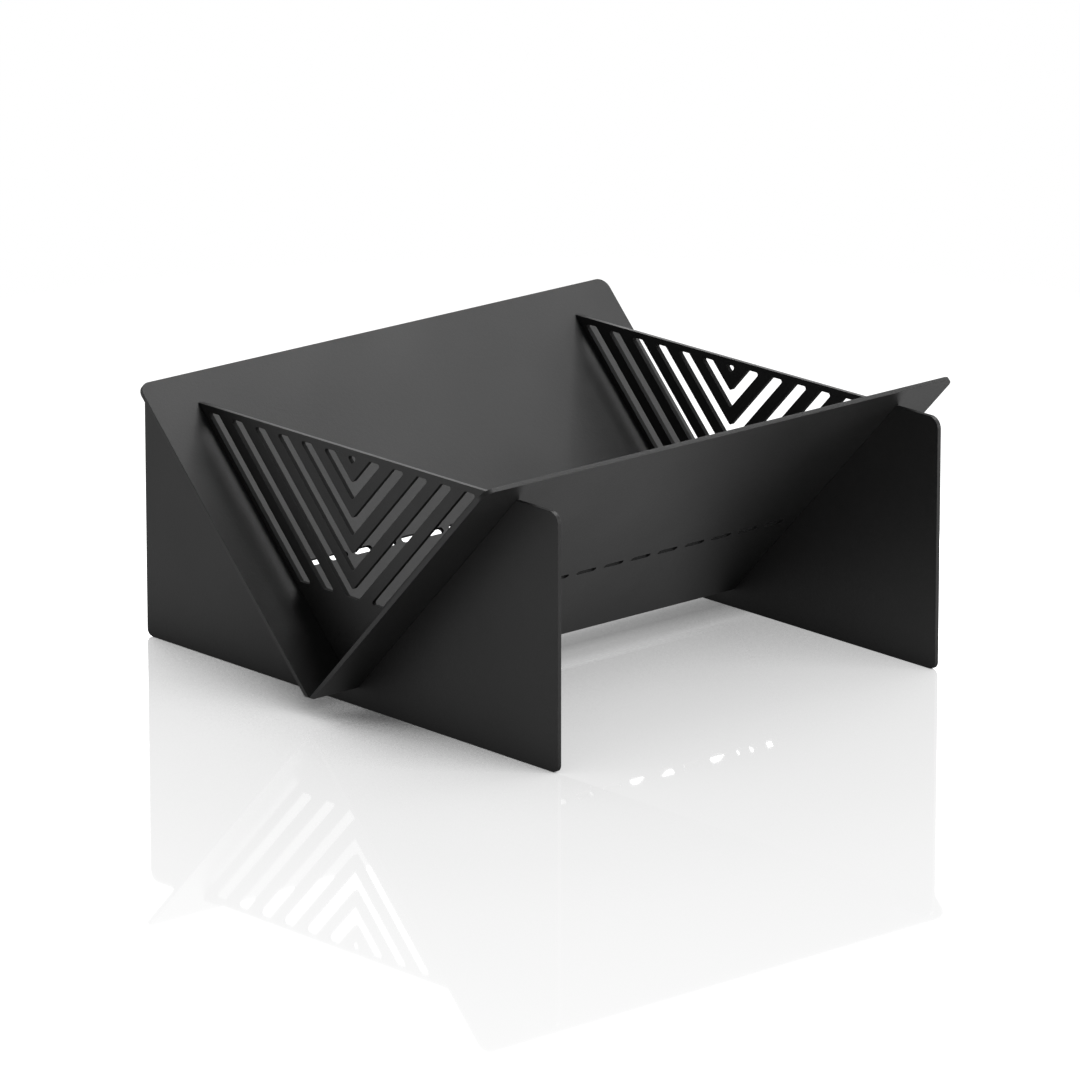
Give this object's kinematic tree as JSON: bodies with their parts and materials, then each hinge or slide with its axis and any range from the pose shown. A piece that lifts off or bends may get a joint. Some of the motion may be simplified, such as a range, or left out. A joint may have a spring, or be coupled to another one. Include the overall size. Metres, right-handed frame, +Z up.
{
  "type": "flat pack fire pit",
  "caption": "Knock-down trough fire pit: two sloping steel panels slotted crosswise into two upright end plates with nested chevron vents.",
  "frame": {"origin": "on the ground, in the middle of the overall length and width, so the end plates' lower edges lie in Z = 0", "axes": "+X along the trough from the left end plate to the right one, -Y towards the front panel, +Z up"},
  "size_m": [0.414, 0.409, 0.1886],
  "materials": {
    "left_end_plate_coat": "matt",
    "right_end_plate_coat": "matt",
    "front_panel_coat": "matt",
    "rear_panel_coat": "matt"
  },
  "bodies": {
    "end_plates": {"left_end_plate": "left_end_plate_coat", "right_end_plate": "right_end_plate_coat"},
    "front_side": {"front_panel": "front_panel_coat"},
    "rear_side": {"rear_panel": "rear_panel_coat"}
  },
  "joints": [
    {"name": "front_panel_lift", "type": "slide", "parent": "end_plates", "child": "front_side", "axis": [0, -0.6947, 0.7193], "range_m": [0, 0.23]},
    {"name": "rear_panel_lift", "type": "slide", "parent": "end_plates", "child": "rear_side", "axis": [0, 0.6947, 0.7193], "range_m": [0, 0.23]}
  ]
}
